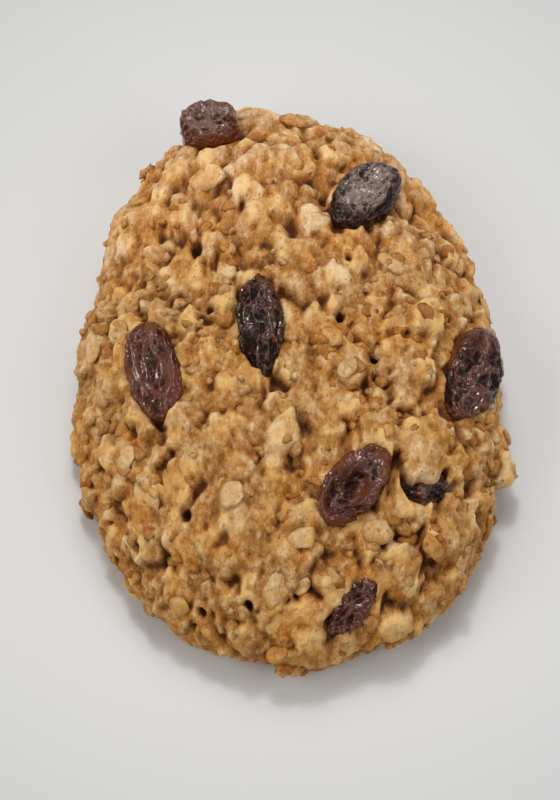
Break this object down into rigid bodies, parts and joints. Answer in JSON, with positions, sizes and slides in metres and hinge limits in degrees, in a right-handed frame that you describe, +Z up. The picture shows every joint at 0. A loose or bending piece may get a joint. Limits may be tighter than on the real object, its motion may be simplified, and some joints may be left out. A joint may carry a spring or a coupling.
{
  "type": "oatmeal raisin cookie",
  "caption": "Thick egg-shaped oatmeal cookie with a lumpy domed crust and raisins set into its top, edge and front.",
  "frame": {"origin": "middle of the cookie's footprint, on the surface it rests on", "axes": "+Z up out of the domed top; +Y along the long axis towards the narrow end; +X to the right when the broad end faces the viewer"},
  "size_m": [0.0623, 0.0915, 0.0195],
  "materials": {
    "baked_dough": "dry crumbly baked oat dough, toasted golden on raised edges",
    "raisin_skin": "wrinkled, half gloss, dark purple to red brown"
  },
  "bodies": {
    "root": {"dough": "baked_dough", "raisin_back_left": "raisin_skin", "raisin_back_right": "raisin_skin", "raisin_middle": "raisin_skin", "raisin_left": "raisin_skin", "raisin_right": "raisin_skin", "raisin_front": "raisin_skin", "raisin_buried": "raisin_skin", "raisin_front_side": "raisin_skin"}
  },
  "joints": []
}
